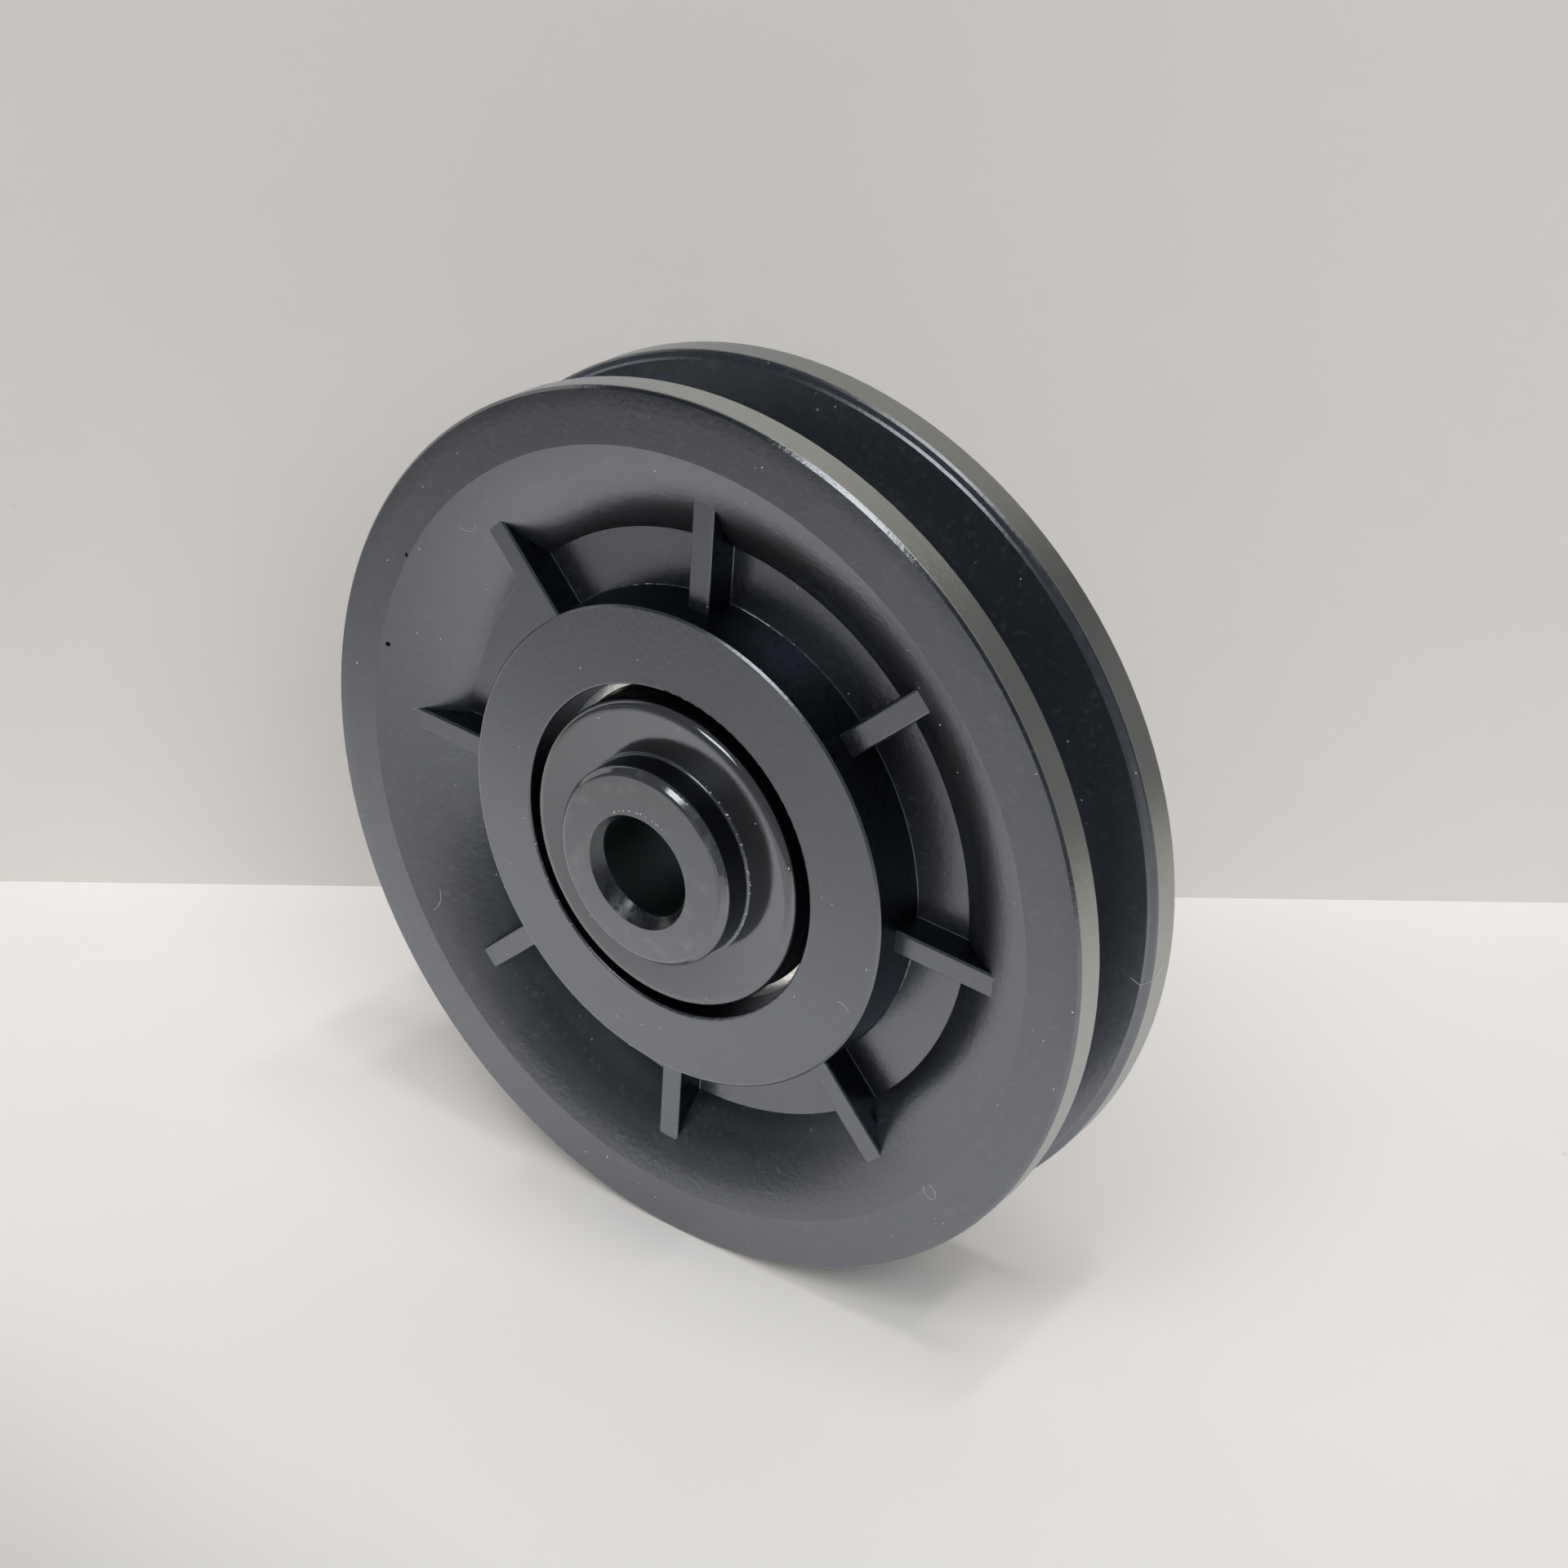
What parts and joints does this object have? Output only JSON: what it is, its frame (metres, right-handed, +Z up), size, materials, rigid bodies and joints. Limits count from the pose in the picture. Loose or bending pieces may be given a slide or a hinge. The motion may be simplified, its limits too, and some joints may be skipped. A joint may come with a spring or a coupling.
{
  "type": "rope sheave",
  "caption": "Grooved pulley wheel for wire rope or cable, ribbed and dished, on a sealed ball bearing with stepped bushings for a through bolt.",
  "frame": {"origin": "centre of the wheel, on the axle's axis and the middle plane of the rope groove", "axes": "+Y along the axle from the front face to the rear face, +Z up, +X to the right of the front face"},
  "size_m": [0.0904, 0.0264, 0.0904],
  "materials": {
    "moulded_plastic": "satin moulded black nylon",
    "bushing_plastic": "smooth black moulded plastic",
    "bearing_steel": "ground bearing steel",
    "cage_steel": "pressed steel sheet",
    "seal_rubber": "smooth black rubber"
  },
  "bodies": {
    "hub": {"bushing_front": "bushing_plastic", "bushing_rear": "bushing_plastic", "bearing_inner_ring": "bearing_steel"},
    "wheel": {"sheave_body": "moulded_plastic", "bearing_outer_ring": "bearing_steel", "seal_front": "seal_rubber", "seal_rear": "seal_rubber"},
    "cage": {"cage_half_front": "cage_steel", "cage_half_rear": "cage_steel", "cage_rivet_1": "cage_steel", "cage_rivet_2": "cage_steel", "cage_rivet_3": "cage_steel", "cage_rivet_4": "cage_steel", "cage_rivet_5": "cage_steel", "cage_rivet_6": "cage_steel", "cage_rivet_7": "cage_steel", "cage_rivet_8": "cage_steel"},
    "ball_1": {"bearing_ball_1": "bearing_steel"},
    "ball_2": {"bearing_ball_2": "bearing_steel"},
    "ball_3": {"bearing_ball_3": "bearing_steel"},
    "ball_4": {"bearing_ball_4": "bearing_steel"},
    "ball_5": {"bearing_ball_5": "bearing_steel"},
    "ball_6": {"bearing_ball_6": "bearing_steel"},
    "ball_7": {"bearing_ball_7": "bearing_steel"},
    "ball_8": {"bearing_ball_8": "bearing_steel"}
  },
  "joints": [
    {"name": "wheel_spin", "type": "hinge", "parent": "hub", "child": "wheel", "pos_m": [0, 0, 0], "axis": [0, 1, 0], "continuous": true},
    {"name": "cage_spin", "type": "hinge", "parent": "hub", "child": "cage", "pos_m": [0, 0, 0], "axis": [0, 1, 0], "continuous": true},
    {"name": "ball_1_spin", "type": "hinge", "parent": "cage", "child": "ball_1", "pos_m": [0, 0, 0.0125], "axis": [0, 1, 0], "continuous": true},
    {"name": "ball_2_spin", "type": "hinge", "parent": "cage", "child": "ball_2", "pos_m": [-0.00884, 0, 0.00884], "axis": [0, 1, 0], "continuous": true},
    {"name": "ball_3_spin", "type": "hinge", "parent": "cage", "child": "ball_3", "pos_m": [-0.0125, 0, 0], "axis": [0, 1, 0], "continuous": true},
    {"name": "ball_4_spin", "type": "hinge", "parent": "cage", "child": "ball_4", "pos_m": [-0.00884, 0, -0.00884], "axis": [0, 1, 0], "continuous": true},
    {"name": "ball_5_spin", "type": "hinge", "parent": "cage", "child": "ball_5", "pos_m": [0, 0, -0.0125], "axis": [0, 1, 0], "continuous": true},
    {"name": "ball_6_spin", "type": "hinge", "parent": "cage", "child": "ball_6", "pos_m": [0.00884, 0, -0.00884], "axis": [0, 1, 0], "continuous": true},
    {"name": "ball_7_spin", "type": "hinge", "parent": "cage", "child": "ball_7", "pos_m": [0.0125, 0, 0], "axis": [0, 1, 0], "continuous": true},
    {"name": "ball_8_spin", "type": "hinge", "parent": "cage", "child": "ball_8", "pos_m": [0.00884, 0, 0.00884], "axis": [0, 1, 0], "continuous": true}
  ],
  "couplings": [
    {"joint": "cage_spin", "follows": "wheel_spin", "ratio": 0.61906},
    {"joint": "ball_1_spin", "follows": "wheel_spin", "ratio": 1.9807},
    {"joint": "ball_2_spin", "follows": "wheel_spin", "ratio": 1.9807},
    {"joint": "ball_3_spin", "follows": "wheel_spin", "ratio": 1.9807},
    {"joint": "ball_4_spin", "follows": "wheel_spin", "ratio": 1.9807},
    {"joint": "ball_5_spin", "follows": "wheel_spin", "ratio": 1.9807},
    {"joint": "ball_6_spin", "follows": "wheel_spin", "ratio": 1.9807},
    {"joint": "ball_7_spin", "follows": "wheel_spin", "ratio": 1.9807},
    {"joint": "ball_8_spin", "follows": "wheel_spin", "ratio": 1.9807}
  ]
}
